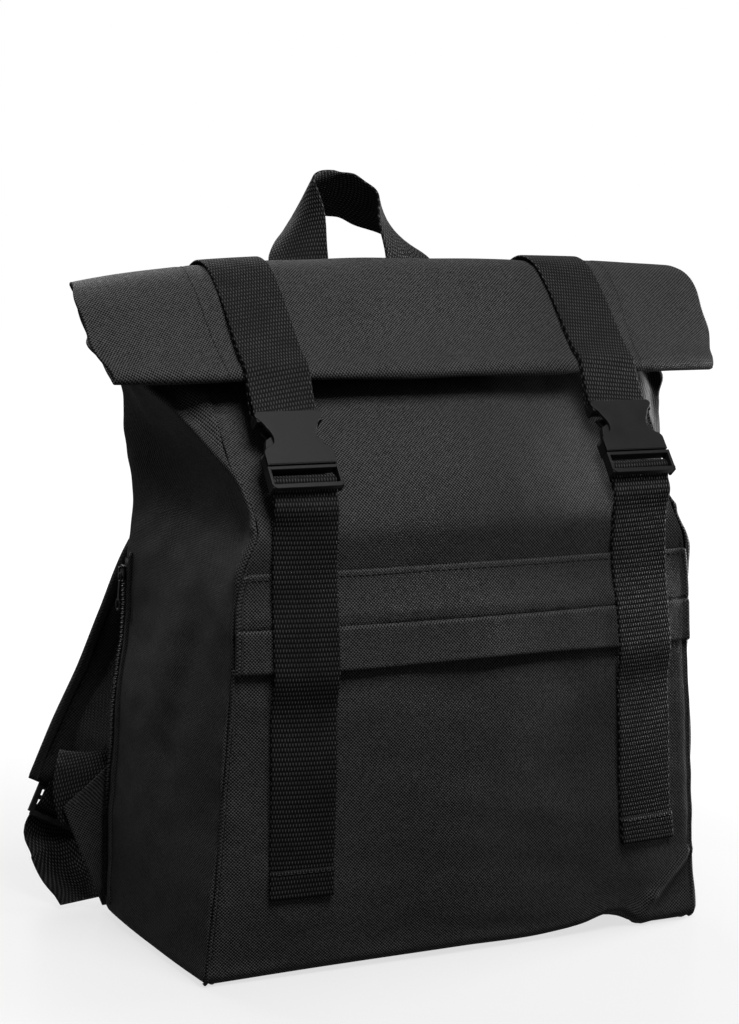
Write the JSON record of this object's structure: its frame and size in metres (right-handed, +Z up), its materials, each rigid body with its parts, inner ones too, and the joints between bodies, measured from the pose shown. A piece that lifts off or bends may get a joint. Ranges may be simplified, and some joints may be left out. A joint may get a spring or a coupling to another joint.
{
  "type": "rolltop backpack",
  "caption": "Standing rolltop backpack with a rolled mouth held by buckled webbing straps, a flapped front pocket, a side zip, a grab handle and padded shoulder straps.",
  "frame": {"origin": "centre of the base, on the surface the bag stands on", "axes": "+Z up, -Y out of the front with the pocket and buckles, +X towards the viewer's right when facing the front"},
  "size_m": [0.4284, 0.2724, 0.4839],
  "materials": {
    "shell_cloth": "charcoal black polyester twill, matt",
    "base_cloth": "coated black cloth, matt",
    "webbing": "woven black webbing",
    "hard_plastic": "moulded black acetal, satin",
    "zip_tape": "black zip tape with a coil",
    "zip_metal": "black painted slider, satin"
  },
  "bodies": {
    "root": {"front_panel": "shell_cloth", "right_gusset": "shell_cloth", "back_panel": "shell_cloth", "left_gusset": "shell_cloth", "pocket_panel": "shell_cloth", "pocket_flap": "shell_cloth", "roll_top": "shell_cloth", "shoulder_pad_left": "shell_cloth", "shoulder_pad_right": "shell_cloth", "strap_tab_left": "shell_cloth", "strap_tab_right": "shell_cloth", "base_panel": "base_cloth", "grab_handle": "webbing", "closure_strap_left": "webbing", "closure_strap_right": "webbing", "tail_strap_left": "webbing", "tail_strap_right": "webbing", "adjuster_left": "webbing", "adjuster_right": "webbing", "buckle_socket_left": "hard_plastic", "buckle_socket_right": "hard_plastic", "buckle_frame_left": "hard_plastic", "buckle_frame_right": "hard_plastic", "ladder_lock_left": "hard_plastic", "ladder_lock_right": "hard_plastic", "zip_tape": "zip_tape", "zip_slider": "zip_metal", "zip_pull": "zip_metal"}
  },
  "joints": []
}
